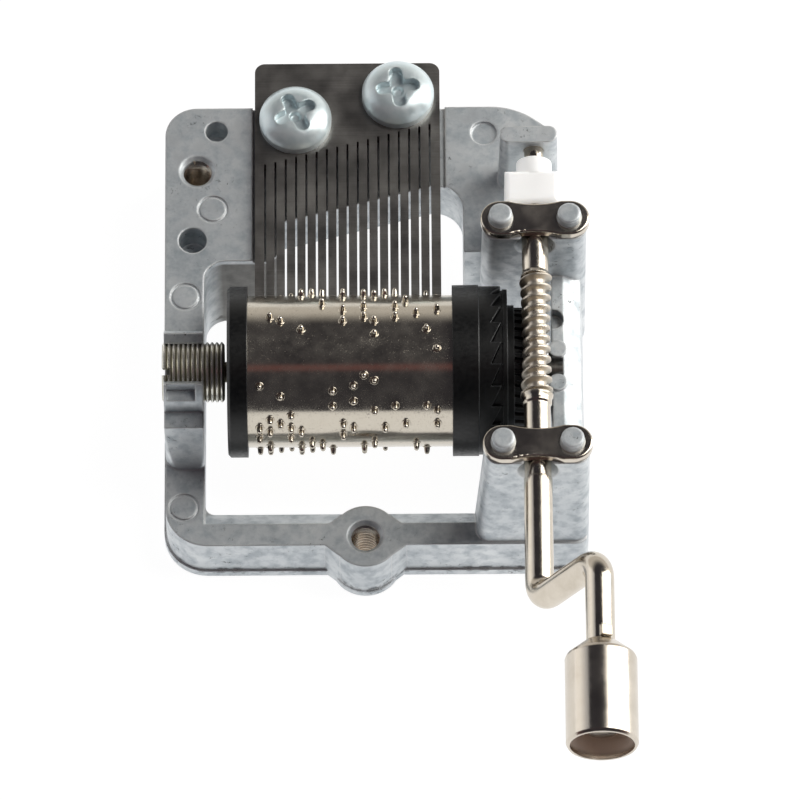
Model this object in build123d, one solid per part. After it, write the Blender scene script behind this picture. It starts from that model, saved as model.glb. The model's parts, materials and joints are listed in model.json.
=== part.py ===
from build123d import *
import math
import os
import random

# Eighteen-note hand-cranked music box movement, in millimetres.
# X runs along the drum, Y away from the crank handle, Z up from the base face.
# The origin is on the front screw hole's axis, at the base face.

# ---- frame casting
frame_left = -17.55         # outer face of the left rail
frame_back = 39.55          # rear edge of the plateau
rail_inner = -14.1          # inner face of the left rail
bar_front = -0.85           # front face of the front bar
bar_back = 3.05
bar_height = 5.6
plateau_z = 11.5            # top of the raised rear part and of the left rail
plate_under_z = 5.9         # underside of the rear bridge
wall_left = 16.45           # right-hand wall that carries the drum's arbor
wall_right = 19.0
wall_top_z = 12.7
seat_z = 11.15              # machined land under the comb
screw_minor_r = 1.25        # M3 tapped hole
screw_mouth_r = 1.6         # its countersunk mouth
rear_hole = (-14.7, 33.2)   # the second M3 tapped hole
boss_r = 2.95               # boss round the front hole
mark_r = 1.35               # ring left by an ejector pin

# ---- drum axis and worm axis
drum_y = 12.95
drum_z = 12.0
wheel_teeth = 34
worm_lead = 1.0
wheel_pitch_r = wheel_teeth * worm_lead / (2 * math.pi)
worm_pitch_r = 0.99
worm_length = 11.6
worm_space = 0.56           # width of the worm's space at the pitch radius
worm_x = 15.0
worm_z = drum_z + wheel_pitch_r + worm_pitch_r

# ---- bearing towers, one each side of the worm
front_tower_y = 1.7
rear_tower_y = 23.65
journal_r = 1.17
running_gap = 0.03
tower_top_z = worm_z + journal_r + running_gap
cap_plate_t = 0.8
stud_spacing = 6.0
stud_r = 0.95

# ---- drum
sleeve_r = 6.65
sleeve_wall = 0.4
sleeve_left = -10.2
sleeve_right = 7.7
flange_r = 7.5              # black end caps
clutch_teeth = 24
clutch_r = 7.4
clutch_low_x = 11.05        # foot of the saw teeth
clutch_top_x = 11.95
pin_r = 0.28
pin_height = 0.65
tracks = 18

# ---- comb
comb_left = -9.6
comb_right = 6.8
comb_tip_y = 20.36
comb_back = 43.6
comb_t = 1.1
root_left_y = 33.2          # end of the slots at the treble side
root_right_y = 37.7         # and at the bass side
slot_w = 0.18
comb_top_z = seat_z + comb_t
comb_screws = ((-6.0, 37.7), (3.1, 40.2))

# ---- crank and knob
rod_r = 1.25
bend_r = 1.75
shaft_front_y = -12.6
arm_x = 5.0
arm_z = 7.9
knob_r = 3.1
knob_back_y = -20.5
knob_front_y = -30.1


def box(x0, x1, y0, y1, z0, z1):
    """Block between two corners."""
    middle = ((x0 + x1) / 2, (y0 + y1) / 2, (z0 + z1) / 2)
    return Pos(*middle) * Box(x1 - x0, y1 - y0, z1 - z0)


def plan_prism(points, radii, z0, z1):
    """Upright prism on a plan outline with rounded corners."""
    outline = FilletPolyline(*[(x, y, z0) for x, y in points], radius=radii, close=True)
    return extrude(make_face(outline), amount=z1 - z0, dir=(0, 0, 1))


def side_prism(points, x0, x1):
    """Prism along X on an outline given as (Y, Z) points."""
    outline = Polyline(*[(x0, y, z) for y, z in points], close=True)
    return extrude(make_face(outline), amount=x1 - x0, dir=(1, 0, 0))


def upright(x, y, z0, z1, r, top_r=None):
    """Vertical round bar, or a cone when top_r is given."""
    height = z1 - z0
    place = Pos(x, y, z0 + height / 2)
    if top_r is None:
        return place * Cylinder(r, height)
    return place * Cone(r, top_r, height)


def turned_x(profile):
    """Body turned about the drum axis from (X, radius) points."""
    outline = Polyline(*[(x, drum_y, drum_z + r) for x, r in profile], close=True)
    return revolve(make_face(outline), Axis((0, drum_y, drum_z), (1, 0, 0)), 360)


def turned_y(profile, x, z):
    """Body turned about a line along Y from (Y, radius) points."""
    outline = Polyline(*[(x + r, y, z) for y, r in profile], close=True)
    return revolve(make_face(outline), Axis((x, 0, z), (0, 1, 0)), 360)


def about_drum(shape, degrees):
    """Copy of a shape turned about the drum axis."""
    there = Pos(0, drum_y, drum_z)
    return there * Rot(degrees, 0, 0) * there.inverse() * shape


# ------------------------------------------------------------------ frame casting
def tower(y, depth, foot_left, foot_right, foot_depth):
    """Drafted bearing tower with a U groove and two studs."""
    left = worm_x - 4.55
    right = worm_x + 4.5
    levels = (
        (0.0, foot_left, foot_right, foot_depth),
        (tower_top_z, left, right, depth),
    )
    sections = []
    for z, x0, x1, d in levels:
        sketch = Rectangle(x1 - x0, d)
        sketch = fillet(sketch.vertices(), 1.15)
        sections.append(Pos((x0 + x1) / 2, y, z) * sketch)
    body = loft(sections)
    groove = Pos(worm_x, y, worm_z) * Rot(90, 0, 0) * Cylinder(journal_r + running_gap, 8)
    slot_w_here = 2 * (journal_r + running_gap)
    mouth = Pos(worm_x, y, worm_z + 2) * Box(slot_w_here, 8, 4)
    # the groove flares where it meets the drafted front face
    face_y = y - (depth + (foot_depth - depth) * 0.06) / 2
    flare = Pos(worm_x, face_y + 0.4, worm_z) * Rot(90, 0, 0) * Cone(journal_r, 1.9, 1.1)
    body -= groove + mouth + flare
    return body


def tower_studs(y):
    """Two cast studs, headed over the cap plate."""
    studs = []
    for side in (-1, 1):
        x = worm_x + side * stud_spacing / 2
        plate_top = tower_top_z + cap_plate_t
        shank = upright(x, y, tower_top_z - 0.6, plate_top, stud_r)
        head = upright(x, y, plate_top, plate_top + 0.35, stud_r + 0.16, stud_r + 0.06)
        crown = upright(x, y, plate_top + 0.35, plate_top + 0.72, stud_r + 0.06)
        rim = upright(x, y, plate_top + 0.72, plate_top + 0.85, stud_r + 0.06, stud_r - 0.08)
        studs.append(shank + head + crown + rim)
    return studs[0] + studs[1]


def left_rail():
    """Low front stretch, steep ramp and the long raised stretch of the left side."""
    ramp_front = drum_y - 6.35
    low = box(frame_left, rail_inner, bar_front, frame_back, 0, bar_height)
    profile = (
        (frame_back, 0),
        (frame_back, plateau_z),
        (ramp_front + 1.15, plateau_z),
        (ramp_front, bar_height),
        (ramp_front, 0),
    )
    raised = side_prism(profile, frame_left, rail_inner)
    corners = plan_prism(
        ((frame_left, ramp_front), (rail_inner, ramp_front), (rail_inner, frame_back), (frame_left, frame_back)),
        (1.4, 0.6, 0.01, 0.01), 0, plateau_z,
    )
    return low + (raised & corners)


def front_bar():
    """Front cross bar, chamfered along its inner top edge."""
    slope = 1.8
    profile = (
        (bar_front, 0),
        (bar_back, 0),
        (bar_back, bar_height - slope),
        (bar_back - slope, bar_height),
        (bar_front, bar_height),
    )
    return side_prism(profile, frame_left, worm_x + 4.4)


def front_boss():
    """Round boss for the front screw, blended into the bar by two small webs."""
    web = ((-3.6, bar_front), (3.6, bar_front), (2.3, -1.9), (-2.3, -1.9))
    inner_web = ((-3.7, bar_back - 2.2), (3.7, bar_back - 2.2), (2.2, bar_back - 1.0), (-2.2, bar_back - 1.0))
    body = upright(0, 0, 0, bar_height, boss_r)
    body += plan_prism(web, 0, 0, bar_height)
    body += plan_prism(inner_web, 0, 0, bar_height)
    return body


def pivot_collar():
    """Collar that wraps the pivot screw, open at the top, with staked lips."""
    collar_r = 3.65
    length = rail_inner - frame_left
    middle = (frame_left + rail_inner) / 2
    collar = Pos(middle, drum_y, drum_z) * Rot(0, 90, 0) * Cylinder(collar_r, length)
    wedge_half = collar_r * math.tan(math.radians(44))
    opening = side_prism(
        ((drum_y, drum_z), (drum_y + wedge_half * 1.4, drum_z + collar_r * 1.4),
         (drum_y - wedge_half * 1.4, drum_z + collar_r * 1.4)),
        frame_left - 1, rail_inner + 1,
    )
    stake = box(frame_left + 0.25, frame_left + 2.75, drum_y - 4.5, drum_y - 2.4, drum_z + 1.25, drum_z + 4)
    return collar - opening - stake


def rear_body():
    """Raised rear part: solid left block, bridge under the comb and right leg."""
    block = plan_prism(
        ((frame_left, 24.25), (-7.3, 24.25), (-7.3, frame_back), (frame_left, frame_back)),
        (0.01, 1.8, 0.01, 2.8), 0, plateau_z,
    )
    bridge = plan_prism(
        ((-7.6, 28.3), (-6.9, 28.35), (6.1, 31.78), (9.2, 31.8), (9.2, frame_back), (-7.6, frame_back)),
        0, plate_under_z, plateau_z,
    )
    leg = plan_prism(
        ((8.8, 25.0), (worm_x + 2.1, 25.0), (worm_x + 2.1, 36.8), (13.5, frame_back), (8.8, frame_back)),
        (0.01, 0.01, 2.2, 6.5, 0.01), 0, plateau_z,
    )
    round_r = 2.6
    corner = box(8.8 - round_r, 8.9, 31.79 - round_r, 31.9, plate_under_z, plateau_z)
    corner -= upright(8.8 - round_r, 31.79 - round_r, 0, plateau_z + 1, round_r)
    return block + bridge + leg + corner


def comb_bed():
    """Tongue that carries the back of the comb behind the plateau."""
    tongue = plan_prism(
        ((-9.4, 38.5), (6.6, 38.5), (6.6, 42.65), (-9.4, 42.65)),
        (0.01, 0.01, 1.2, 1.2), plate_under_z + 1.0, seat_z,
    )
    seat = box(comb_left - 0.2, comb_right + 0.45, comb_tip_y, comb_back + 1, seat_z, plateau_z + 1)
    return tongue, seat


def end_post():
    """Post behind the nylon sleeve, which takes the end of the crank shaft."""
    outline = fillet(Rectangle(5.0, 1.6).vertices(), 0.75)
    foot = fillet(Rectangle(5.3, 2.3).vertices(), 0.95)
    post = loft([Pos(worm_x - 0.45, 32.3, plateau_z - 0.5) * foot, Pos(worm_x - 0.45, 32.15, worm_z + 1.6) * outline])
    bore = Pos(worm_x, 31.6, worm_z) * Rot(90, 0, 0) * Cylinder(0.88, 1.6)
    return post - bore


def right_wall():
    """Wall between the towers, notched for the wheel arbor between two staked lobes."""
    profile = ((16.35, 0), (wall_right + 0.4, 0), (wall_right, wall_top_z - 1.1), (wall_right - 1.5, wall_top_z),
               (wall_left, wall_top_z))
    outline = Polyline(*[(x, 3.0, z) for x, z in profile], close=True)
    wall = extrude(make_face(outline), amount=19.6, dir=(0, 1, 0))
    for side in (-1, 1):
        wall += upright(wall_left + 0.5, drum_y + side * 1.65, 6.0, wall_top_z + 0.25, 0.8)
    wall -= upright(wall_left + 0.1, drum_y + 4.65, wall_top_z - 1.2, wall_top_z + 1, 0.95)
    arbor_slot = box(wall_left - 1, wall_left + 0.95, drum_y - 0.86, drum_y + 0.86, drum_z, wall_top_z + 2)
    arbor_seat = Pos(wall_left, drum_y, drum_z) * Rot(0, 90, 0) * Cylinder(0.86, 1.9)
    return wall - arbor_slot - arbor_seat


def frame():
    """Zinc die casting that carries every other piece."""
    body = left_rail() + front_bar() + rear_body() + right_wall()
    tongue, seat = comb_bed()
    body += tongue
    outline = plan_prism(
        ((frame_left, bar_front), (worm_x + 4.5, bar_front), (worm_x + 4.5, 60), (frame_left, 60)),
        (3.7, 1.0, 0.5, 0.5), -1, 40,
    )
    foot = plan_prism(
        ((frame_left - 0.2, bar_front - 0.2), (worm_x + 4.6, bar_front - 0.2), (worm_x + 4.6, bar_back),
         (frame_left - 0.2, bar_back)),
        (3.9, 1.1, 0.01, 0.01), 0, 0.9,
    )
    foot += box(frame_left - 0.2, rail_inner, bar_back - 0.1, 20.0, 0, 0.9)
    foot += upright(0, 0, 0, 0.75, boss_r + 0.15)
    foot += upright(0, 0, 0.75, 0.9, boss_r + 0.15, boss_r)
    body = (body & outline) + foot
    pocket_r = 1.9
    pocket = box(rail_inner - 0.1, rail_inner + pocket_r, 24.3 - pocket_r, 24.35, 0, plateau_z)
    pocket -= upright(rail_inner + pocket_r, 24.25 - pocket_r, -1, plateau_z + 1, pocket_r)
    body += pocket
    rear_corner = box(frame_left - 1, frame_left + 2.8, frame_back - 2.8, frame_back + 1, -1, plateau_z + 1)
    rear_corner -= upright(frame_left + 2.8, frame_back - 2.8, -1, plateau_z + 1, 2.8)
    body -= rear_corner
    body += tower(front_tower_y, 3.5, worm_x - 5.6, worm_x + 4.6, 5.0)
    body += tower(rear_tower_y, 3.5, worm_x - 4.9, worm_x + 4.6, 3.55)
    body += end_post() + front_boss() + pivot_collar()
    body -= seat
    inner_corner = box(rail_inner - 0.1, rail_inner + 0.9, bar_back - 0.1, bar_back + 0.9, 0, bar_height - 1.8)
    inner_corner -= upright(rail_inner + 0.9, bar_back + 0.9, -1, 6, 0.9)
    body += inner_corner

    # holes and moulding marks
    for x, y, top in ((0, 0, bar_height), (*rear_hole, plateau_z)):
        body -= upright(x, y, -1, top + 1, screw_minor_r)
        body -= upright(x, y, top - 0.35, top, screw_minor_r, screw_mouth_r)
    for x, y, r, depth in ((-13.0, 37.2, 1.0, 3.0), (-15.1, 26.3, 1.25, 3.0), (10.7, 36.9, 1.15, 0.25)):
        body -= upright(x, y, plateau_z - depth, plateau_z + 1, r)
    for x, y, top in ((-13.3, 29.4, plateau_z), (-15.7, 20.7, plateau_z), (-15.9, 2.9, bar_height)):
        ring = upright(x, y, top - 0.12, top + 1, mark_r)
        ring -= upright(x, y, top - 0.2, top + 1, mark_r - 0.22)
        body -= ring
    pivot_hole = Pos((frame_left + rail_inner) / 2, drum_y, drum_z) * Rot(0, 90, 0) * Cylinder(2.65, 6)
    body -= pivot_hole
    for x, y in comb_screws:
        body -= upright(x, y, seat_z - 4.2, seat_z + 1, 1.5)
    body += tower_studs(front_tower_y) + tower_studs(rear_tower_y)
    return body


# ------------------------------------------------------------------ fastened to the frame
def cap_plate(y):
    """Waisted plate that closes a bearing groove, held by the two studs."""
    end_r = 1.7
    waist = 0.32
    length = 9.55
    blank = SlotOverall(length, 2 * end_r)
    sag = (waist ** 2 + 2.3 ** 2) / (2 * waist)
    for side in (-1, 1):
        blank -= Pos(0, side * (end_r - waist + sag)) * Circle(sag)
    plate = Pos(worm_x, y, tower_top_z) * extrude(blank, amount=cap_plate_t)
    top_edges = plate.edges().group_by(Axis.Z)[-1]
    plate = fillet(top_edges, 0.22)
    for side in (-1, 1):
        plate -= upright(worm_x + side * stud_spacing / 2, y, 0, 40, stud_r)
    return plate


def tooth_root_y(x):
    """Y of the slot ends, on a slanted line from treble to bass."""
    share = (x - comb_left) / (comb_right - comb_left)
    return root_left_y + share * (root_right_y - root_left_y)


def comb():
    """Hardened steel comb with eighteen teeth, thinned from below."""
    plate = plan_prism(
        ((comb_left, comb_tip_y), (comb_right, comb_tip_y), (comb_right, comb_back), (comb_left, comb_back)),
        (0.01, 0.01, 0.9, 0.9), seat_z, comb_top_z,
    )
    thinned = plan_prism(
        ((comb_left - 1, 22.2), (comb_right + 1, 22.2), (comb_right + 1, root_right_y - 0.5),
         (comb_left - 1, root_left_y - 0.9)),
        0, seat_z - 1, comb_top_z - 0.6,
    )
    tips = box(comb_left - 1, comb_right + 1, comb_tip_y - 1, 22.3, seat_z - 1, comb_top_z - 0.75)
    plate -= thinned + tips
    pitch = (comb_right - comb_left) / tracks
    for i in range(1, tracks):
        x = comb_left + i * pitch
        plate -= box(x - slot_w / 2, x + slot_w / 2, comb_tip_y - 1, tooth_root_y(x), seat_z - 1, comb_top_z + 1)
    for x, y in comb_screws:
        plate -= upright(x, y, 0, 30, 1.65)
    return plate


def tooth_x(i):
    """Centre of tooth i, counted from the treble side."""
    pitch = (comb_right - comb_left) / tracks
    return comb_left + (i + 0.5) * pitch


def comb_weights():
    """Lead blocks under the ten bass teeth, longer towards the bass."""
    blocks = []
    for i in range(8, tracks):
        size = (i - 7) / 10
        top = comb_top_z - 0.6
        x = tooth_x(i)
        blocks.append(box(x - 0.3, x + 0.3, 22.25, 23.6 + 2.4 * size, top - 0.5 - 1.3 * size, top))
    return Compound(children=blocks)


def comb_dampers():
    """Fine damper wires glued under the eight treble teeth."""
    wires = []
    for i in range(8):
        x = tooth_x(i)
        top = comb_top_z - 0.75
        wires.append(box(x - 0.12, x + 0.12, 20.95, 21.9, top - 0.14, top))
    return Compound(children=wires)


def comb_screw(x, y, turn):
    """Pan-head M3 screw with a four-lobed cross recess."""
    head_r = 3.2
    head_h = 1.95
    lobe_w = 1.2
    z = comb_top_z
    outline = make_face(
        Line((x, y, z), (x + head_r, y, z))
        + Line((x + head_r, y, z), (x + head_r, y, z + 0.75))
        + ThreePointArc((x + head_r, y, z + 0.75), (x + 2.45, y, z + 1.62), (x + 0.9, y, z + head_h))
        + Line((x + 0.9, y, z + head_h), (x, y, z + head_h))
        + Line((x, y, z + head_h), (x, y, z))
    )
    head = revolve(outline, Axis((x, y, 0), (0, 0, 1)), 360)
    recess = upright(0, 0, -1.3, 0.2, 0.35, 1.1)
    for angle in (0, 90):
        arm = Pos(0, 0, -0.95) * extrude(SlotOverall(3.9, lobe_w), amount=1.3)
        recess += Rot(0, 0, angle) * arm
    head -= Pos(x, y, z + head_h) * Rot(0, 0, turn) * recess
    shank = upright(x, y, seat_z - 4.0, z + 0.1, 1.5)
    return head + shank


def pivot_screw():
    """Fine-threaded pivot screw; its journal carries the drum's left end."""
    pitch = 0.42
    crest = 2.65
    root = 2.43
    start = frame_left - 0.15
    turns = 13
    profile = [(start, 0), (start, root)]
    for i in range(turns):
        profile.append((start + (i + 0.3) * pitch, crest))
        profile.append((start + (i + 0.5) * pitch, crest))
        profile.append((start + (i + 0.95) * pitch, root))
    end = start + turns * pitch
    profile += [(end, root), (end, 0.9), (-10.0, 0.9), (-9.6, 0.5), (-9.6, 0)]
    screw = turned_x(profile)
    slot = Pos(start, drum_y, drum_z) * Rot(25, 0, 0) * Box(1.4, 0.65, 8)
    return screw - slot


def thrust_sleeve():
    """Nylon block and neck round the shaft, between the rear tower and the post."""
    y0 = rear_tower_y + 1.8
    y1 = 28.6
    block = box(worm_x - 2.6, worm_x + 2.15, y0, y1, plateau_z, worm_z + 1.55)
    top_edges = block.edges().group_by(Axis.Z)[-1]
    block = fillet(top_edges, 0.45)
    neck = Pos(worm_x, (y1 + 30.0) / 2 - 0.1, worm_z) * Rot(90, 0, 0) * Cylinder(1.55, 30.0 - y1 + 0.2)
    body = block + neck
    body -= Pos(worm_x, 26, worm_z) * Rot(90, 0, 0) * Cylinder(journal_r + running_gap, 7.0)
    body -= Pos(worm_x, 30, worm_z) * Rot(90, 0, 0) * Cylinder(0.85 + running_gap, 4.0)
    return body


def wheel_arbor():
    """Steel arbor staked in the wall's notch; wheel and drum turn on it."""
    arbor = turned_x(((2.0, 0), (2.0, 0.65), (2.2, 0.85), (wall_left + 0.94, 0.85), (wall_left + 0.94, 0)))
    return arbor


# ------------------------------------------------------------------ drum
def drum_sleeve():
    """Thin plated tube that carries the pins."""
    inner = sleeve_r - sleeve_wall
    return turned_x(((sleeve_left, inner), (sleeve_left, sleeve_r), (sleeve_right, sleeve_r), (sleeve_right, inner)))


def drum_pins():
    """Tune pins on eighteen tracks, scattered by a fixed seed so that they play no tune."""
    steps = 90
    root = sleeve_r - sleeve_wall
    tip = sleeve_r + pin_height
    blank = Pos(0, drum_y, drum_z + (root + tip) / 2) * Cone(pin_r + 0.04, pin_r - 0.12, tip - root)
    scatter = random.Random(18)
    pins = []
    for i in range(tracks):
        count = scatter.randint(5, 9)
        for step in scatter.sample(range(i % 3, steps, 3), count):
            pins.append(Pos(tooth_x(i), 0, 0) * about_drum(blank, 360 / steps * step + 2))
    return Compound(children=pins)


def left_end_cap():
    """Black nylon cap pressed into the left end, running on the pivot screw."""
    plug_r = sleeve_r - sleeve_wall
    bore = 0.9 + running_gap
    return turned_x((
        (-11.95, bore + 0.5), (-11.95, flange_r - 0.25), (-11.7, flange_r), (sleeve_left, flange_r),
        (sleeve_left, plug_r), (-8.2, plug_r), (-8.2, 3.0), (-9.2, 3.0), (-9.2, bore), (-11.5, bore),
    ))


def saw_wedges(x_low, x_high, r_in, r_out, inset):
    """Ring of saw-tooth wedges, open towards +X; inset shrinks them all round."""
    step = 360 / clutch_teeth
    half = math.tan(math.radians(step / 2)) * clutch_r
    wedge = Polyline(
        (x_low + 2 * inset, drum_y - half + inset, drum_z + r_out),
        (x_high, drum_y - half + inset, drum_z + r_out),
        (x_high, drum_y + half - 2 * inset, drum_z + r_out),
        (clutch_top_x, drum_y + half - 2 * inset, drum_z + r_out),
        close=True,
    )
    blank = extrude(make_face(wedge), amount=r_out - r_in, dir=(0, 0, -1))
    return [about_drum(blank, i * step) for i in range(clutch_teeth)]


def ratchet_end_cap():
    """Black nylon cap at the right end, with saw teeth on its outer face."""
    plug_r = sleeve_r - sleeve_wall
    bore = 0.85 + running_gap
    body = turned_x((
        (5.6, bore), (5.6, plug_r), (sleeve_right, plug_r), (sleeve_right, flange_r), (10.0, flange_r),
        (10.0, flange_r - 0.12), (clutch_top_x, flange_r - 0.12), (clutch_top_x, 5.9), (9.6, 5.9), (9.6, 2.6), (10.6, 2.6),
        (10.6, bore),
    ))
    return body - saw_wedges(clutch_low_x, clutch_top_x + 0.3, 5.2, flange_r + 0.4, 0.0)


# ------------------------------------------------------------------ worm wheel
def worm_wheel():
    """Black nylon wheel with a flange, its clutch ring on the left side."""
    tip_r = wheel_pitch_r + 0.07
    root_r = wheel_pitch_r - 0.32
    bore = 0.85 + running_gap
    body = turned_x((
        (11.2, bore), (11.2, 2.3), (12.1, 2.3), (12.1, 7.1), (12.5, 7.1), (12.5, 5.7), (13.1, 5.7),
        (13.1, tip_r), (15.9, tip_r), (15.9, 2.2), (14.2, 2.2), (14.2, bore),
    ))
    ring = turned_x(((clutch_low_x, 6.1), (clutch_low_x, 7.0), (12.2, 7.0), (12.2, 6.1)))
    teeth = [wedge & ring for wedge in saw_wedges(clutch_low_x, 12.2, 5.2, 8.0, 0.06)]
    body += teeth
    lead_angle = math.degrees(math.atan(worm_lead / (2 * math.pi * worm_pitch_r)))
    top_half = 0.56 / 2 + (tip_r + 0.3 - wheel_pitch_r) * math.tan(math.radians(20))
    low_half = 0.56 / 2 - (wheel_pitch_r - root_r) * math.tan(math.radians(20))
    gap = Polyline(
        (-2.6, -top_half, tip_r + 0.3), (-2.6, top_half, tip_r + 0.3),
        (-2.6, low_half, root_r), (-2.6, -low_half, root_r), close=True,
    )
    cutter = extrude(make_face(gap), amount=5.2, dir=(1, 0, 0))
    cutter = Pos(worm_x, drum_y, drum_z) * Rot(0, 0, -lead_angle) * cutter
    spaces = [about_drum(cutter, i * 360 / wheel_teeth) for i in range(wheel_teeth)]
    keep = turned_x(((13.1, 0), (13.1, 9), (18, 9), (18, 0)))
    spaces = [space & keep for space in spaces]
    return body - spaces


def clutch_spring():
    """Small coil spring in the wheel's hub, which closes the clutch."""
    wire = 0.16
    coil_r = 1.45
    length = 1.5
    path = Helix(pitch=length / 4, height=length, radius=coil_r)
    start = path @ 0
    section = Plane(origin=start, z_dir=path % 0) * Circle(wire)
    coil = sweep(section, path=path, is_frenet=True)
    return Pos(14.2 + wire + 0.02, drum_y, drum_z) * Rot(0, 90, 0) * coil


# ------------------------------------------------------------------ crank
def worm_thread():
    """Hourglass worm with one right-handed thread, standing on the drum's centre line."""
    throat = 1.225
    ends = 1.46
    half = worm_length / 2
    outline = make_face(
        Line((0, 0, -half), (ends, 0, -half))
        + ThreePointArc((ends, 0, -half), (throat, 0, 0), (ends, 0, half))
        + Line((ends, 0, half), (0, 0, half))
        + Line((0, 0, half), (0, 0, -half))
    )
    blank = revolve(outline, Axis.Z, 360)
    root = 0.84
    outer = 1.52
    flank = math.tan(math.radians(20))
    low = worm_space / 2 - (worm_pitch_r - root) * flank
    high = worm_space / 2 + (outer - worm_pitch_r) * flank
    points = ((outer, -high), (outer, high), (root, low), (root, -low))
    section = make_face(Plane.XZ * Polyline(*points, close=True))
    groove = sweep(section, path=Helix(pitch=worm_lead, height=14, radius=worm_pitch_r), is_frenet=True)
    # a thread stands over the wheel's top gap when the helix starts a quarter lead off
    worm = blank - Pos(0, 0, -7 + worm_lead / 4) * groove
    return Pos(worm_x, drum_y, worm_z) * Rot(-90, 0, 0) * worm


def worm_crankshaft():
    """One steel rod: rear journal, rolled worm, front journal, arm and handle."""
    y0 = drum_y - worm_length / 2
    y1 = drum_y + worm_length / 2
    front = turned_y(
        ((-1.2, 0), (-1.2, journal_r), (y0 - 1.0, journal_r), (y0 - 0.8, 1.3), (y0 - 0.45, 1.3), (y0, 1.44), (y0, 0)),
        worm_x, worm_z,
    )
    rear = turned_y(
        ((y1, 0), (y1, 1.3), (y1 + 0.4, journal_r), (29.3, journal_r), (29.3, 0.85), (31.7, 0.85), (31.9, 0.65),
         (31.9, 0)), worm_x, worm_z,
    )
    shaft = worm_thread() + front + rear
    corner = Vector(worm_x, shaft_front_y, worm_z)
    elbow = corner + Vector(arm_x, 0, arm_z)
    points = (Vector(worm_x, -1.0, worm_z), corner, elbow, Vector(elbow.X, knob_front_y + 1.27, elbow.Z))
    route = FilletPolyline(*points, radius=bend_r)
    section = Plane(origin=points[0], z_dir=(0, -1, 0)) * Circle(rod_r)
    rod = sweep(section, path=route)
    for y in (knob_back_y + 0.65, knob_front_y + 3.7):
        ears = Pos(elbow.X, y, elbow.Z) * Rot(0, 20, 0) * Box(0.95, 1.0, 3.15)
        rod += ears
    return shaft + rod


def knob_shell():
    """Drawn and plated cup that forms the outside of the knob."""
    wall = 0.38
    neck = rod_r + 0.1
    y0 = knob_front_y
    y1 = knob_back_y
    return turned_y((
        (y1, neck), (y1, neck + 0.1), (y1 - 1.35, knob_r - 0.1), (y1 - 1.6, knob_r), (y0 + 0.25, knob_r),
        (y0, knob_r - 0.15), (y0, knob_r - wall + 0.05), (y0 + 0.3, knob_r - wall), (y1 - 1.7, knob_r - wall),
        (y1 - 1.5, knob_r - wall - 0.1), (y1 - 0.4, neck),
    ), worm_x + arm_x, worm_z + arm_z)


def knob_bush():
    """Bush pressed into the cup; the rod turns freely in it."""
    outer = knob_r - 0.38
    y0 = knob_front_y + 4.4
    y1 = knob_back_y - 1.8
    return turned_y(((y0, rod_r + 0.05), (y0, outer), (y1, outer), (y1, rod_r + 0.05)), worm_x + arm_x, worm_z + arm_z)


nodes = {
    "frame": frame(),
    "front_cap_plate": cap_plate(front_tower_y),
    "rear_cap_plate": cap_plate(rear_tower_y),
    "comb": comb(),
    "comb_weights": comb_weights(),
    "comb_dampers": comb_dampers(),
    "comb_screw_left": comb_screw(*comb_screws[0], 28),
    "comb_screw_right": comb_screw(*comb_screws[1], 8),
    "pivot_screw": pivot_screw(),
    "thrust_sleeve": thrust_sleeve(),
    "wheel_arbor": wheel_arbor(),
    "drum_sleeve": drum_sleeve(),
    "drum_pins": drum_pins(),
    "left_end_cap": left_end_cap(),
    "ratchet_end_cap": ratchet_end_cap(),
    "worm_wheel": worm_wheel(),
    "clutch_spring": clutch_spring(),
    "worm_crankshaft": worm_crankshaft(),
    "knob_shell": knob_shell(),
    "knob_bush": knob_bush(),
}

os.makedirs("parts", exist_ok=True)
for name, shape in nodes.items():
    export_step(shape, f"parts/{name}.step")
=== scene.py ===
import json
import math
import random

import bpy
from mathutils import Matrix, Vector


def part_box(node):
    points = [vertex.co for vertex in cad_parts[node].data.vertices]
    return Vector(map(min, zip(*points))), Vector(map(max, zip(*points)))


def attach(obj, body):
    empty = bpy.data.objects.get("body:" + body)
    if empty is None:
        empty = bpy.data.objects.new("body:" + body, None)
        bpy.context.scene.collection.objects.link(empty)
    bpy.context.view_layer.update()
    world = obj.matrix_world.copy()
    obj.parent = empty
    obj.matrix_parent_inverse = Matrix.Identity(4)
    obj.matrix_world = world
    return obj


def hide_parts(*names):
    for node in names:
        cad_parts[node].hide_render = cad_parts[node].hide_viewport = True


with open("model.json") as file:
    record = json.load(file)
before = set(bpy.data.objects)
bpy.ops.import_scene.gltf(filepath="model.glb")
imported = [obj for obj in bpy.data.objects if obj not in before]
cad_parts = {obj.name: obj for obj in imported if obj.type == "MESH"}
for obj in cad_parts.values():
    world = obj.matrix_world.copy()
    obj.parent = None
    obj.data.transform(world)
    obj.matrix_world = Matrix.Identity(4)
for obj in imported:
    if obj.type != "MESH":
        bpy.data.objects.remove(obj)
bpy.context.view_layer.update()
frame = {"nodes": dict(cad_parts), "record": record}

# ---------------------------------------------------------------- frame casting
# One zinc die casting carries everything. It left the die bare: satin blue-grey skin with cloudy flow
# marks, sooty specks in patches and rubbed edges with a painted highlight; a patch of painted shade darkens
# one inner wall.
mm = 0.001


def linear(code):
    """Linear RGBA of an sRGB hex colour."""
    channels = [int(code[i:i + 2], 16) / 255 for i in (0, 2, 4)]
    light = [c / 12.92 if c <= 0.04045 else ((c + 0.055) / 1.055) ** 2.4 for c in channels]
    return (*light, 1.0)


def new_material(name):
    """Empty node material and its tree."""
    material = bpy.data.materials.new(name)
    material.use_nodes = True
    material.node_tree.nodes.clear()
    return material, material.node_tree


def add(tree, kind, values, links=None):
    """Adds a node, sets its sockets or settings from values, and feeds sockets from links."""
    node = tree.nodes.new("ShaderNode" + kind)
    for key, value in values.items():
        if isinstance(key, int) or key in node.inputs:
            node.inputs[key].default_value = value
        else:
            setattr(node, key, value)
    for key, output in (links or {}).items():
        tree.links.new(output, node.inputs[key])
    return node


def dress(node, material):
    """Gives a CAD node its material."""
    for slot in frame["nodes"][node].material_slots:
        slot.material = material


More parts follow.
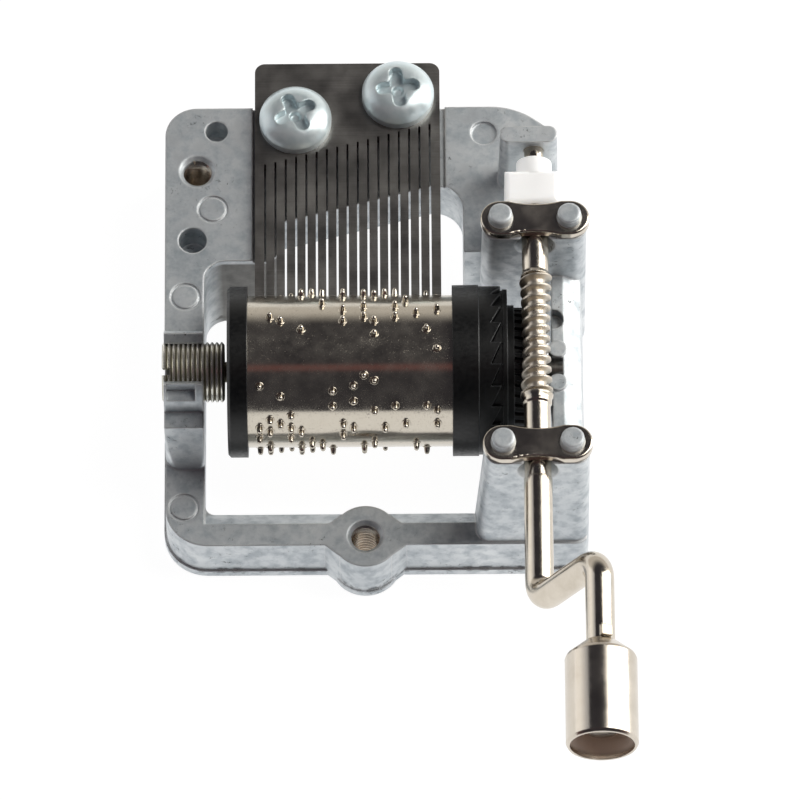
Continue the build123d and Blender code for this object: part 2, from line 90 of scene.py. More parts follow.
zinc, tree = new_material("zinc_die_cast_bare")
place = add(tree, "TexCoord", {})
flow = add(tree, "TexNoise", {"Scale": 1 / (7 * mm), "Detail": 5.0, "Roughness": 0.62, "Distortion": 0.6},
           {"Vector": place.outputs["Object"]})
mottle = add(tree, "TexNoise", {"Scale": 1 / (1.1 * mm), "Detail": 4.0, "Roughness": 0.6},
             {"Vector": place.outputs["Object"]})
grain = add(tree, "TexNoise", {"Scale": 1 / (0.22 * mm), "Detail": 3.0}, {"Vector": place.outputs["Object"]})
soot = add(tree, "TexNoise", {"Scale": 1 / (0.55 * mm), "Detail": 3.0, "Roughness": 0.7, "Distortion": 1.2},
           {"Vector": place.outputs["Object"]})
patches = add(tree, "TexNoise", {"Scale": 1 / (4.5 * mm), "Detail": 2.0}, {"Vector": place.outputs["Object"]})
skin = add(tree, "MapRange", {"From Min": 0.33, "From Max": 0.68}, {"Value": flow.outputs["Fac"]})
base = add(tree, "Mix", {"data_type": "RGBA", 6: linear("C6CCD0"), 7: linear("E4E8EA")},
           {"Factor": skin.outputs["Result"]})
fleck = add(tree, "MapRange", {"From Min": 0.42, "From Max": 0.66}, {"Value": mottle.outputs["Fac"]})
clouded = add(tree, "Mix", {"data_type": "RGBA", "blend_type": "MULTIPLY", 7: linear("DADEE1")},
              {6: base.outputs[2], "Factor": fleck.outputs["Result"]})
speck = add(tree, "MapRange", {"From Min": 0.62, "From Max": 0.69}, {"Value": soot.outputs["Fac"]})
where = add(tree, "MapRange", {"From Min": 0.5, "From Max": 0.62}, {"Value": patches.outputs["Fac"]})
sooty = add(tree, "Math", {"operation": "MULTIPLY"},
            {0: speck.outputs["Result"], 1: where.outputs["Result"]})
marked = add(tree, "Mix", {"data_type": "RGBA", 7: linear("4C5154")},
             {"Factor": sooty.outputs["Value"], 6: clouded.outputs[2]})
# dark dashes along the small ledge round the foot
ledge_z = 0.95 * mm
spot = add(tree, "SeparateXYZ", {}, {"Vector": place.outputs["Object"]})
above = add(tree, "Math", {"operation": "SUBTRACT", 1: ledge_z}, {0: spot.outputs["Z"]})
near = add(tree, "Math", {"operation": "ABSOLUTE"}, {0: above.outputs["Value"]})
ledge = add(tree, "MapRange", {"From Min": 0.42 * mm, "From Max": 0.15 * mm},
            {"Value": near.outputs["Value"]})
dash = add(tree, "MapRange", {"From Min": 0.5, "From Max": 0.58, "To Max": 0.8},
           {"Value": mottle.outputs["Fac"]})
ledge_dashes = add(tree, "Math", {"operation": "MULTIPLY"}, {0: ledge.outputs["Result"], 1: dash.outputs["Result"]})
ledge_dashed = add(tree, "Mix", {"data_type": "RGBA", 7: linear("5A5F62")},
            {"Factor": ledge_dashes.outputs["Value"], 6: marked.outputs[2]})
# painted shade: a brown-grey patch darkens the wall behind the drum's left end, below the rubbed top edge
wall_shade_front = 21.5 * mm
wall_shade_back = 26.0 * mm
wall_shade_middle = -10.0 * mm
wall_shade_half_width = 3.9 * mm
wall_shade_top = 11.05 * mm
wall_shade_near = add(tree, "MapRange", {"From Min": wall_shade_front, "From Max": wall_shade_front + 1.5 * mm},
               {"Value": spot.outputs["Y"]})
wall_shade_far = add(tree, "MapRange", {"From Min": wall_shade_back, "From Max": wall_shade_back - 1.0 * mm},
              {"Value": spot.outputs["Y"]})
wall_shade_off = add(tree, "Math", {"operation": "SUBTRACT", 1: wall_shade_middle}, {0: spot.outputs["X"]})
wall_shade_away = add(tree, "Math", {"operation": "ABSOLUTE"}, {0: wall_shade_off.outputs["Value"]})
wall_shade_side = add(tree, "MapRange", {"From Min": wall_shade_half_width, "From Max": wall_shade_half_width - 1.4 * mm},
               {"Value": wall_shade_away.outputs["Value"]})
wall_shade_low = add(tree, "MapRange", {"From Min": wall_shade_top, "From Max": wall_shade_top - 0.35 * mm, "To Max": 0.86},
              {"Value": spot.outputs["Z"]})
wall_shade_band = add(tree, "Math", {"operation": "MULTIPLY"},
               {0: wall_shade_near.outputs["Result"], 1: wall_shade_far.outputs["Result"]})
wall_shade_part = add(tree, "Math", {"operation": "MULTIPLY"},
               {0: wall_shade_side.outputs["Result"], 1: wall_shade_low.outputs["Result"]})
painted_wall_shade = add(tree, "Math", {"operation": "MULTIPLY"},
           {0: wall_shade_band.outputs["Value"], 1: wall_shade_part.outputs["Value"]})
wall_shaded = add(tree, "Mix", {"data_type": "RGBA", 7: linear("4E4A43")},
            {"Factor": painted_wall_shade.outputs["Value"], 6: ledge_dashed.outputs[2]})
# the rounding that a casting's edges have, and a lighter colour along them: partly rub, partly a painted
# highlight
rounded = add(tree, "Bevel", {"samples": 6, "Radius": 0.28 * mm})
plain = add(tree, "NewGeometry", {})
turned = add(tree, "VectorMath", {"operation": "DOT_PRODUCT"},
             {0: rounded.outputs["Normal"], 1: plain.outputs["Normal"]})
edge = add(tree, "MapRange", {"From Min": 0.985, "From Max": 0.86}, {"Value": turned.outputs["Value"]})
rub = add(tree, "MapRange", {"From Min": 0.3, "From Max": 0.55}, {"Value": mottle.outputs["Fac"]})
edge_rub_and_highlight = add(tree, "Math", {"operation": "MULTIPLY"}, {0: edge.outputs["Result"], 1: rub.outputs["Result"]})
# edges mixed towards near white: painted highlight, partly rub
edge_highlight_colour = add(tree, "Mix", {"data_type": "RGBA", 7: linear("F7F8F9")},
          {"Factor": edge_rub_and_highlight.outputs["Value"], 6: wall_shaded.outputs[2]})
bare = add(tree, "MapRange", {"To Min": 0.58, "To Max": 0.2}, {"Value": edge_rub_and_highlight.outputs["Value"]})
sheen = add(tree, "MapRange", {"From Min": 0.3, "From Max": 0.7, "To Min": 0.4, "To Max": 0.54},
            {"Value": mottle.outputs["Fac"]})
pits = add(tree, "Math", {"operation": "MULTIPLY_ADD", 1: 0.35},
           {0: grain.outputs["Fac"], 2: mottle.outputs["Fac"]})
relief = add(tree, "Bump", {"Strength": 0.35, "Distance": 0.05 * mm},
             {"Height": pits.outputs["Value"], "Normal": rounded.outputs["Normal"]})
shader = add(tree, "BsdfPrincipled", {},
             {"Base Color": edge_highlight_colour.outputs[2], "Metallic": bare.outputs["Result"],
              "Roughness": sheen.outputs["Result"], "Normal": relief.outputs["Normal"]})
add(tree, "OutputMaterial", {}, {"Surface": shader.outputs["BSDF"]})
dress("frame", zinc)

# Threads of the two M3 holes, cut by a tap: a 60 degree ridge every half millimetre, smeared with brown
# oil and bright between the smears.
tap_pitch = 0.5 * mm
hole_r = 1.25 * mm
ridge_depth = 0.16 * mm
ridge_root = 0.02 * mm          # how far the ridge's foot sinks into the wall
foot_half = 0.46                # half widths of the ridge, in pitches
crest_half = 0.06
thread_start = 0.3 * mm         # below the first ridge
thread_end = 0.2 * mm           # above the last one


def thread_ridge(name, x, y, z0, z1):
    """Helical ridge that stands inwards from the round wall of a hole, from height z0 to z1."""
    segments = 40
    turns = (z1 - z0) / tap_pitch
    steps = int(turns * segments)
    section = ((hole_r + ridge_root, -foot_half), (hole_r - ridge_depth, -crest_half),
               (hole_r - ridge_depth, crest_half), (hole_r + ridge_root, foot_half))
    points = []
    for i in range(steps + 1):
        angle = 2 * math.pi * i / segments
        height = z0 + tap_pitch * i / segments
        for r, share in section:
            points.append((x + r * math.cos(angle), y + r * math.sin(angle), height + share * tap_pitch))
    faces = []
    size = len(section)
    for i in range(steps):
        for k in range(size):
            a = i * size + k
            b = i * size + (k + 1) % size
            faces.append((a, a + size, b + size, b))
    faces.append(tuple(range(size)))
    faces.append(tuple(reversed(range(steps * size, steps * size + size))))
    mesh = bpy.data.meshes.new(name)
    mesh.from_pydata(points, [], faces)
    mesh.update()
    piece = bpy.data.objects.new(name, mesh)
    bpy.context.collection.objects.link(piece)
    return piece


tapped, tree = new_material("zinc_tapped_oily")
place = add(tree, "TexCoord", {})
smear = add(tree, "TexNoise", {"Scale": 1 / (1.2 * mm), "Detail": 3.0}, {"Vector": place.outputs["Object"]})
tone = add(tree, "Mix", {"data_type": "RGBA", 6: linear("B5A390"), 7: linear("FAF5EC")},
           {"Factor": smear.outputs["Fac"]})
gloss = add(tree, "MapRange", {"To Min": 0.1, "To Max": 0.24}, {"Value": smear.outputs["Fac"]})
shader = add(tree, "BsdfPrincipled", {"Metallic": 1.0},
             {"Base Color": tone.outputs[2], "Roughness": gloss.outputs["Result"]})
add(tree, "OutputMaterial", {}, {"Surface": shader.outputs["BSDF"]})

holes = [mount for mount in frame["record"]["mounts"] if mount["kind"] == "threaded_hole"]
for mount in holes:
    foot = Vector(mount["pos_m"])
    top = foot.z + mount["dims"]["length_mm"] * mm
    thread = thread_ridge("thread_" + mount["name"], foot.x, foot.y, foot.z + thread_start, top - thread_end)
    thread.data.materials.append(tapped)
    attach(thread, "frame")

# ---------------------------------------------------------------- pivot screw
# Fine-threaded steel screw staked in the left collar; the drum turns on its nose. Turned, nickel
# flashed and rubbed on the crests, with yellow-grey dirt in the grooves.
screw_steel, tree = new_material("screw_steel_worn_flash")
place = add(tree, "TexCoord", {})
axis_low, axis_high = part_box("pivot_screw")
drum_axis = Vector((0, (axis_low.y + axis_high.y) / 2, (axis_low.z + axis_high.z) / 2))
offset = add(tree, "VectorMath", {"operation": "SUBTRACT", 1: drum_axis}, {0: place.outputs["Object"]})
flat = add(tree, "VectorMath", {"operation": "MULTIPLY", 1: (0.0, 1.0, 1.0)}, {0: offset.outputs["Vector"]})
reach = add(tree, "VectorMath", {"operation": "LENGTH"}, {0: flat.outputs["Vector"]})
crest_r = 2.63 * mm
groove_r = 2.47 * mm
crest = add(tree, "MapRange", {"From Min": groove_r, "From Max": crest_r}, {"Value": reach.outputs["Value"]})
wear = add(tree, "TexNoise", {"Scale": 1 / (0.9 * mm), "Detail": 4.0, "Roughness": 0.65},
           {"Vector": place.outputs["Object"]})
rub = add(tree, "Math", {"operation": "MULTIPLY_ADD", 1: 0.5},
          {0: wear.outputs["Fac"], 2: crest.outputs["Result"]})
cover = add(tree, "MapRange", {"From Min": 0.2, "From Max": 1.15}, {"Value": rub.outputs["Value"]})
tone = add(tree, "Mix", {"data_type": "RGBA", 6: linear("8E8974"), 7: linear("F6F4EC")},
           {"Factor": cover.outputs["Result"]})
gloss = add(tree, "MapRange", {"To Min": 0.5, "To Max": 0.26}, {"Value": cover.outputs["Result"]})
shader = add(tree, "BsdfPrincipled", {"Metallic": 0.85},
             {"Base Color": tone.outputs[2], "Roughness": gloss.outputs["Result"]})
add(tree, "OutputMaterial", {}, {"Surface": shader.outputs["BSDF"]})
dress("pivot_screw", screw_steel)

# ---------------------------------------------------------------- wheel arbor
# Ground steel pin staked between the two lobes of the right wall; the wheel and the drum's right
# end turn on it. Grey, with grinding lines round it, drawn coarser than the real ones so that they show.
arbor_steel, tree = new_material("arbor_steel_ground")
place = add(tree, "TexCoord", {})
rings = add(tree, "TexNoise", {"Scale": 1 / (0.12 * mm), "Detail": 2.0, "noise_dimensions": "1D"})
along = add(tree, "SeparateXYZ", {}, {"Vector": place.outputs["Object"]})
tree.links.new(along.outputs["X"], rings.inputs["W"])
tone = add(tree, "Mix", {"data_type": "RGBA", 6: linear("5A5855"), 7: linear("8E8B86")},
           {"Factor": rings.outputs["Fac"]})
gloss = add(tree, "MapRange", {"To Min": 0.26, "To Max": 0.42}, {"Value": rings.outputs["Fac"]})
shader = add(tree, "BsdfPrincipled", {"Metallic": 1.0},
             {"Base Color": tone.outputs[2], "Roughness": gloss.outputs["Result"]})
add(tree, "OutputMaterial", {}, {"Surface": shader.outputs["BSDF"]})
dress("wheel_arbor", arbor_steel)

# ---------------------------------------------------------------- nylon wheel and drum caps
# Worm wheel and both drum caps are moulded in black nylon. The die leaves a semi-gloss skin with
# faint flow lines and fine scuffs; the edges are lightened to grey as a painted highlight.
black_nylon, tree = new_material("nylon_black_moulded")
place = add(tree, "TexCoord", {})
skin = add(tree, "TexNoise", {"Scale": 1 / (0.35 * mm), "Detail": 4.0, "Roughness": 0.6},
           {"Vector": place.outputs["Object"]})
stretch = add(tree, "Mapping", {"Scale": (1 / (0.25 * mm), 1 / (3 * mm), 1 / (3 * mm))},
              {"Vector": place.outputs["Object"]})
scuff = add(tree, "TexNoise", {"Scale": 1.0, "Detail": 5.0, "Roughness": 0.7},
            {"Vector": stretch.outputs["Vector"]})
dust = add(tree, "MapRange", {"From Min": 0.56, "From Max": 0.74}, {"Value": scuff.outputs["Fac"]})
rounded = add(tree, "Bevel", {"samples": 4, "Radius": 0.12 * mm})
plain = add(tree, "NewGeometry", {})
turned = add(tree, "VectorMath", {"operation": "DOT_PRODUCT"},
             {0: rounded.outputs["Normal"], 1: plain.outputs["Normal"]})
# painted highlight: the edges are lightened towards grey
edge = add(tree, "MapRange", {"From Min": 0.98, "From Max": 0.85, "To Max": 0.4},
           {"Value": turned.outputs["Value"]})
tone = add(tree, "Mix", {"data_type": "RGBA", 6: linear("060708"), 7: linear("15171A")},
           {"Factor": dust.outputs["Result"]})
edge_highlight_colour = add(tree, "Mix", {"data_type": "RGBA", 7: linear("6A6E72")},
          {"Factor": edge.outputs["Result"], 6: tone.outputs[2]})
gloss = add(tree, "MapRange", {"From Min": 0.3, "From Max": 0.7, "To Min": 0.3, "To Max": 0.5},
            {"Value": skin.outputs["Fac"]})
relief = add(tree, "Bump", {"Strength": 0.25, "Distance": 0.03 * mm},
             {"Height": skin.outputs["Fac"], "Normal": rounded.outputs["Normal"]})
shader = add(tree, "BsdfPrincipled", {"IOR": 1.46},
             {"Base Color": edge_highlight_colour.outputs[2], "Roughness": gloss.outputs["Result"],
              "Normal": relief.outputs["Normal"]})
add(tree, "OutputMaterial", {}, {"Surface": shader.outputs["BSDF"]})
for node in ("worm_wheel", "left_end_cap", "ratchet_end_cap"):
    dress(node, black_nylon)

# ---------------------------------------------------------------- clutch spring
# Small coil of hard-drawn steel wire in the wheel's hub, which presses the clutch teeth together.
# Drawing leaves it bright, with a fine mottle of duller grey.
spring_steel, tree = new_material("spring_wire_drawn")
place = add(tree, "TexCoord", {})
draw = add(tree, "TexNoise", {"Scale": 1 / (0.1 * mm), "Detail": 3.0}, {"Vector": place.outputs["Object"]})
tone = add(tree, "Mix", {"data_type": "RGBA", 6: linear("7A7873"), 7: linear("B9B6AF")},
           {"Factor": draw.outputs["Fac"]})
gloss = add(tree, "MapRange", {"To Min": 0.2, "To Max": 0.4}, {"Value": draw.outputs["Fac"]})
shader = add(tree, "BsdfPrincipled", {"Metallic": 1.0},
             {"Base Color": tone.outputs[2], "Roughness": gloss.outputs["Result"]})
add(tree, "OutputMaterial", {}, {"Surface": shader.outputs["BSDF"]})
dress("clutch_spring", spring_steel)

# ---------------------------------------------------------------- drum sleeve
# Thin brass tube, nickel plated and buffed. It mirrors its surroundings in long bands, dulled by grit
# marks, cloudy handling haze and hairlines round it. Grit and hairlines are drawn coarser than real.
drum_nickel, tree = new_material("nickel_plate_buffed_drum")
place = add(tree, "TexCoord", {})
haze = add(tree, "TexNoise", {"Scale": 1 / (2.2 * mm), "Detail": 6.0, "Roughness": 0.68},
           {"Vector": place.outputs["Object"]})
grit = add(tree, "TexNoise", {"Scale": 1 / (0.16 * mm), "Detail": 2.0}, {"Vector": place.outputs["Object"]})
spots = add(tree, "MapRange", {"From Min": 0.6, "From Max": 0.72}, {"Value": grit.outputs["Fac"]})
stretch = add(tree, "Mapping", {"Scale": (1 / (0.05 * mm), 1 / (6 * mm), 1 / (6 * mm))},
              {"Vector": place.outputs["Object"]})
hairline = add(tree, "TexNoise", {"Scale": 1.0, "Detail": 3.0}, {"Vector": stretch.outputs["Vector"]})
tone = add(tree, "Mix", {"data_type": "RGBA", 6: linear("BDB5A7"), 7: linear("DAD3C6")},
           {"Factor": haze.outputs["Fac"]})
dusty = add(tree, "Mix", {"data_type": "RGBA", 7: linear("B4ACA0")},
            {"Factor": spots.outputs["Result"], 6: tone.outputs[2]})
blur = add(tree, "MapRange", {"From Min": 0.35, "From Max": 0.7, "To Min": 0.11, "To Max": 0.2},
           {"Value": haze.outputs["Fac"]})
gloss = add(tree, "Math", {"operation": "MULTIPLY_ADD", 1: 0.16},
            {0: spots.outputs["Result"], 2: blur.outputs["Result"]})
lines = add(tree, "Math", {"operation": "MULTIPLY_ADD", 1: 0.5},
            {0: grit.outputs["Fac"], 2: hairline.outputs["Fac"]})
relief = add(tree, "Bump", {"Strength": 0.12, "Distance": 0.01 * mm}, {"Height": lines.outputs["Value"]})
film = add(tree, "MapRange", {"From Min": 0.3, "From Max": 0.7, "To Min": 0.99, "To Max": 0.9},
           {"Value": haze.outputs["Fac"]})
shader = add(tree, "BsdfPrincipled", {},
             {"Base Color": dusty.outputs[2], "Metallic": film.outputs["Result"],
              "Roughness": gloss.outputs["Value"], "Normal": relief.outputs["Normal"]})
add(tree, "OutputMaterial", {}, {"Surface": shader.outputs["BSDF"]})
dress("drum_sleeve", drum_nickel)

# ---------------------------------------------------------------- tune pins
# Each pin is a short drawn steel wire pushed through the sleeve from inside. It stands in a small
# raised burr, tapers a little and ends in a polished dome.
pin_rows = 18
pin_steps = 90                  # places round the drum where a pin can stand
step_gap = 3                    # pins of one row stand on every third place
start_angle = 2                 # degrees
fewest_pins = 5
most_pins = 9
comb_low, comb_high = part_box("comb")
sleeve_low, sleeve_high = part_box("drum_sleeve")
sleeve_r = (sleeve_high.z - sleeve_low.z) / 2
drum_middle = Vector((0, (sleeve_low.y + sleeve_high.y) / 2, (sleeve_low.z + sleeve_high.z) / 2))
# radius and height above the sleeve, in mm, from the burr's foot to the tip
pin_profile = (
    (0.0, -0.10), (0.40, -0.10), (0.40, 0.00), (0.385, 0.035), (0.345, 0.05), (0.31, 0.03), (0.275, 0.0),
    (0.27, 0.08), (0.245, 0.36), (0.225, 0.48), (0.19, 0.57), (0.13, 0.63), (0.06, 0.655), (0.0, 0.66),
)
pin_sides = 20
pin_verts = []
pin_faces = []
scatter = random.Random(18)
pitch = (comb_high.x - comb_low.x) / pin_rows
for row in range(pin_rows):
    x = comb_low.x + (row + 0.5) * pitch
    count = scatter.randint(fewest_pins, most_pins)
    for step in scatter.sample(range(row % step_gap, pin_steps, step_gap), count):
        angle = math.radians(360 / pin_steps * step + start_angle)
        swing = Matrix.Translation(drum_middle) @ Matrix.Rotation(angle, 4, "X")
        start = len(pin_verts)
        for r, rise in pin_profile[1:-1]:
            for k in range(pin_sides):
                turn = 2 * math.pi * k / pin_sides
                pin_verts.append(swing @ Vector((x + r * mm * math.cos(turn), r * mm * math.sin(turn),
                                                 sleeve_r + rise * mm)))
        levels = len(pin_profile) - 2
        for level in range(levels - 1):
            for k in range(pin_sides):
                a = start + level * pin_sides + k
                b = start + level * pin_sides + (k + 1) % pin_sides
                pin_faces.append((a, b, b + pin_sides, a + pin_sides))
        pin_faces.append(tuple(start + k for k in reversed(range(pin_sides))))
        tip = len(pin_verts)
        pin_verts.append(swing @ Vector((x, 0, sleeve_r + pin_profile[-1][1] * mm)))
        last = start + (levels - 1) * pin_sides
        for k in range(pin_sides):
            pin_faces.append((last + k, last + (k + 1) % pin_sides, tip))
mesh = bpy.data.meshes.new("tune_pins")
mesh.from_pydata(pin_verts, [], pin_faces)
mesh.update()
mesh.shade_smooth()
tune_pins = bpy.data.objects.new("tune_pins", mesh)
bpy.context.collection.objects.link(tune_pins)

pin_steel, tree = new_material("pin_steel_polished")
place = add(tree, "TexCoord", {})
rub = add(tree, "TexNoise", {"Scale": 1 / (0.3 * mm), "Detail": 3.0}, {"Vector": place.outputs["Object"]})
tone = add(tree, "Mix", {"data_type": "RGBA", 6: linear("B8AE9E"), 7: linear("F0E9DC")},
           {"Factor": rub.outputs["Fac"]})
gloss = add(tree, "MapRange", {"To Min": 0.08, "To Max": 0.26}, {"Value": rub.outputs["Fac"]})
shader = add(tree, "BsdfPrincipled", {"Metallic": 1.0},
             {"Base Color": tone.outputs[2], "Roughness": gloss.outputs["Result"]})
add(tree, "OutputMaterial", {}, {"Surface": shader.outputs["BSDF"]})
tune_pins.data.materials.append(pin_steel)
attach(tune_pins, "drum")
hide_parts("drum_pins")

# ---------------------------------------------------------------- crankshaft with worm
# One steel rod: rolled worm, two journals, bent arm and handle, all nickel plated after forming.
# The plate is bright and warm, with draw lines along the rod and a faint cloudy haze.
crank_nickel, tree = new_material("nickel_plate_bright_rod")
place = add(tree, "TexCoord", {})
haze = add(tree, "TexNoise", {"Scale": 1 / (1.6 * mm), "Detail": 5.0, "Roughness": 0.65},
           {"Vector": place.outputs["Object"]})
stretch = add(tree, "Mapping", {"Scale": (1 / (0.12 * mm), 1 / (2.5 * mm), 1 / (0.12 * mm))},
              {"Vector": place.outputs["Object"]})
draw = add(tree, "TexNoise", {"Scale": 1.0, "Detail": 4.0, "Roughness": 0.6},
           {"Vector": stretch.outputs["Vector"]})
tone = add(tree, "Mix", {"data_type": "RGBA", 6: linear("BDB3A4"), 7: linear("E2DACD")},
           {"Factor": haze.outputs["Fac"]})
blur = add(tree, "MapRange", {"From Min": 0.35, "From Max": 0.7, "To Min": 0.12, "To Max": 0.22},
           {"Value": haze.outputs["Fac"]})
# the rolled worm is duller than the drawn rod
wheel_low, wheel_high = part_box("worm_wheel")
along = add(tree, "SeparateXYZ", {}, {"Vector": place.outputs["Object"]})
off = add(tree, "Math", {"operation": "SUBTRACT", 1: (wheel_low.y + wheel_high.y) / 2},
          {0: along.outputs["Y"]})
away = add(tree, "Math", {"operation": "ABSOLUTE"}, {0: off.outputs["Value"]})
worm_half = 6.1 * mm
rolled = add(tree, "MapRange", {"From Min": worm_half, "From Max": worm_half - 0.4 * mm, "To Max": 0.13},
             {"Value": away.outputs["Value"]})
satin = add(tree, "Math", {"operation": "ADD"}, {0: blur.outputs["Result"], 1: rolled.outputs["Result"]})
plated = add(tree, "MapRange", {"From Max": 0.13, "To Min": 1.0, "To Max": 0.82},
             {"Value": rolled.outputs["Result"]})
rounded = add(tree, "Bevel", {"samples": 6, "Radius": 0.2 * mm})
relief = add(tree, "Bump", {"Strength": 0.15, "Distance": 0.015 * mm},
             {"Height": draw.outputs["Fac"], "Normal": rounded.outputs["Normal"]})
shader = add(tree, "BsdfPrincipled", {},
             {"Base Color": tone.outputs[2], "Metallic": plated.outputs["Result"],
              "Roughness": satin.outputs["Value"], "Normal": relief.outputs["Normal"]})
add(tree, "OutputMaterial", {}, {"Surface": shader.outputs["BSDF"]})
dress("worm_crankshaft", crank_nickel)

# ---------------------------------------------------------------- thrust sleeve
# Block and neck moulded in natural nylon, which takes the end push of the shaft. White and slightly
# waxy, so light sinks in at its edges; a faint glow is painted on to lift it to white.
white_nylon, tree = new_material("nylon_natural_moulded")
place = add(tree, "TexCoord", {})
milk = add(tree, "TexNoise", {"Scale": 1 / (1.5 * mm), "Detail": 3.0}, {"Vector": place.outputs["Object"]})
tone = add(tree, "Mix", {"data_type": "RGBA", 6: linear("F0F1F1"), 7: linear("FBFBFA")},
           {"Factor": milk.outputs["Fac"]})
gloss = add(tree, "MapRange", {"To Min": 0.32, "To Max": 0.5}, {"Value": milk.outputs["Fac"]})
rounded = add(tree, "Bevel", {"samples": 4, "Radius": 0.2 * mm})
relief = add(tree, "Bump", {"Strength": 0.15, "Distance": 0.03 * mm},
             {"Height": milk.outputs["Fac"], "Normal": rounded.outputs["Normal"]})
# the emission is painted light: a faint glow that makes the nylon read whiter
shader = add(tree, "BsdfPrincipled", {"IOR": 1.53, "Subsurface Weight": 0.6, "Subsurface Scale": 0.8 * mm,
                                      "Subsurface Radius": (1.0, 0.95, 0.9), "Emission Strength": 0.26,
                                      "Emission Color": linear("FBFBFA")},
             {"Base Color": tone.outputs[2], "Roughness": gloss.outputs["Result"],
              "Normal": relief.outputs["Normal"]})
add(tree, "OutputMaterial", {}, {"Surface": shader.outputs["BSDF"]})
dress("thrust_sleeve", white_nylon)

# ---------------------------------------------------------------- bearing cap plates
# Waisted plates blanked from steel strip and nickel plated. The flat top is near mirror with faint
# scuffs; the blanked edge is rolled over and shines.
plate_nickel, tree = new_material("nickel_plate_blanked_strip")
place = add(tree, "TexCoord", {})
haze = add(tree, "TexNoise", {"Scale": 1 / (1.8 * mm), "Detail": 5.0, "Roughness": 0.65},
           {"Vector": place.outputs["Object"]})
scuff = add(tree, "TexNoise", {"Scale": 1 / (0.2 * mm), "Detail": 3.0, "Distortion": 1.5},
            {"Vector": place.outputs["Object"]})
tone = add(tree, "Mix", {"data_type": "RGBA", 6: linear("BFB6A8"), 7: linear("DCD4C8")},
           {"Factor": haze.outputs["Fac"]})
blur = add(tree, "MapRange", {"From Min": 0.35, "From Max": 0.7, "To Min": 0.14, "To Max": 0.25},
           {"Value": haze.outputs["Fac"]})
rounded = add(tree, "Bevel", {"samples": 6, "Radius": 0.12 * mm})
relief = add(tree, "Bump", {"Strength": 0.1, "Distance": 0.01 * mm},
             {"Height": scuff.outputs["Fac"], "Normal": rounded.outputs["Normal"]})
shader = add(tree, "BsdfPrincipled", {"Metallic": 1.0},
             {"Base Color": tone.outputs[2], "Roughness": blur.outputs["Result"],
              "Normal": relief.outputs["Normal"]})
add(tree, "OutputMaterial", {}, {"Surface": shader.outputs["BSDF"]})
for node in ("front_cap_plate", "rear_cap_plate"):
    dress(node, plate_nickel)

# ---------------------------------------------------------------- knob
# Drawn steel cup, nickel plated, that spins on the handle. Drawing leaves a faint orange peel on it.
# A turned bush is pressed in from inside, stained brown with plating salts.
knob_nickel, tree = new_material("nickel_plate_drawn_cup")
place = add(tree, "TexCoord", {})
peel = add(tree, "TexNoise", {"Scale": 1 / (0.35 * mm), "Detail": 4.0, "Roughness": 0.6},
           {"Vector": place.outputs["Object"]})
haze = add(tree, "TexNoise", {"Scale": 1 / (2.4 * mm), "Detail": 5.0, "Roughness": 0.65},
           {"Vector": place.outputs["Object"]})
tone = add(tree, "Mix", {"data_type": "RGBA", 6: linear("BEB4A6"), 7: linear("E0D8CC")},
           {"Factor": haze.outputs["Fac"]})
blur = add(tree, "MapRange", {"From Min": 0.35, "From Max": 0.7, "To Min": 0.15, "To Max": 0.26},
           {"Value": haze.outputs["Fac"]})
# plating does not throw into the cup, so its inside is left brown and matt
cup_low, cup_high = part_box("knob_shell")
cup_r = (cup_high.x - cup_low.x) / 2
skin_depth = 0.3 * mm           # inwards of the plated outside and rim
neck_length = 1.2 * mm
cup_axis = Vector(((cup_low.x + cup_high.x) / 2, 0, (cup_low.z + cup_high.z) / 2))
offset = add(tree, "VectorMath", {"operation": "SUBTRACT", 1: cup_axis}, {0: place.outputs["Object"]})
flat = add(tree, "VectorMath", {"operation": "MULTIPLY", 1: (1.0, 0.0, 1.0)}, {0: offset.outputs["Vector"]})
reach = add(tree, "VectorMath", {"operation": "LENGTH"}, {0: flat.outputs["Vector"]})
along = add(tree, "SeparateXYZ", {}, {"Vector": place.outputs["Object"]})
wall = add(tree, "MapRange", {"From Min": cup_r - skin_depth, "From Max": cup_r - skin_depth - 0.06 * mm},
           {"Value": reach.outputs["Value"]})
deep = add(tree, "MapRange", {"From Min": cup_low.y + 0.2 * mm, "From Max": cup_low.y + 0.7 * mm},
           {"Value": along.outputs["Y"]})
hollow_end = cup_high.y - neck_length
hollow = add(tree, "MapRange", {"From Min": hollow_end, "From Max": hollow_end - 0.5 * mm},
             {"Value": along.outputs["Y"]})
within = add(tree, "Math", {"operation": "MULTIPLY"}, {0: wall.outputs["Result"], 1: deep.outputs["Result"]})
inside = add(tree, "Math", {"operation": "MULTIPLY"},
             {0: within.outputs["Value"], 1: hollow.outputs["Result"]})
coated = add(tree, "Mix", {"data_type": "RGBA", 7: linear("F4E6DA")},
             {"Factor": inside.outputs["Value"], 6: tone.outputs[2]})
plated = add(tree, "MapRange", {"To Min": 1.0, "To Max": 0.1}, {"Value": inside.outputs["Value"]})
matt = add(tree, "MapRange", {"To Max": 0.3}, {"Value": inside.outputs["Value"]})
satin = add(tree, "Math", {"operation": "ADD"}, {0: blur.outputs["Result"], 1: matt.outputs["Result"]})
rounded = add(tree, "Bevel", {"samples": 6, "Radius": 0.12 * mm})
relief = add(tree, "Bump", {"Strength": 0.12, "Distance": 0.02 * mm},
             {"Height": peel.outputs["Fac"], "Normal": rounded.outputs["Normal"]})
shader = add(tree, "BsdfPrincipled", {},
             {"Base Color": coated.outputs[2], "Metallic": plated.outputs["Result"],
              "Roughness": satin.outputs["Value"], "Normal": relief.outputs["Normal"]})
add(tree, "OutputMaterial", {}, {"Surface": shader.outputs["BSDF"]})
dress("knob_shell", knob_nickel)

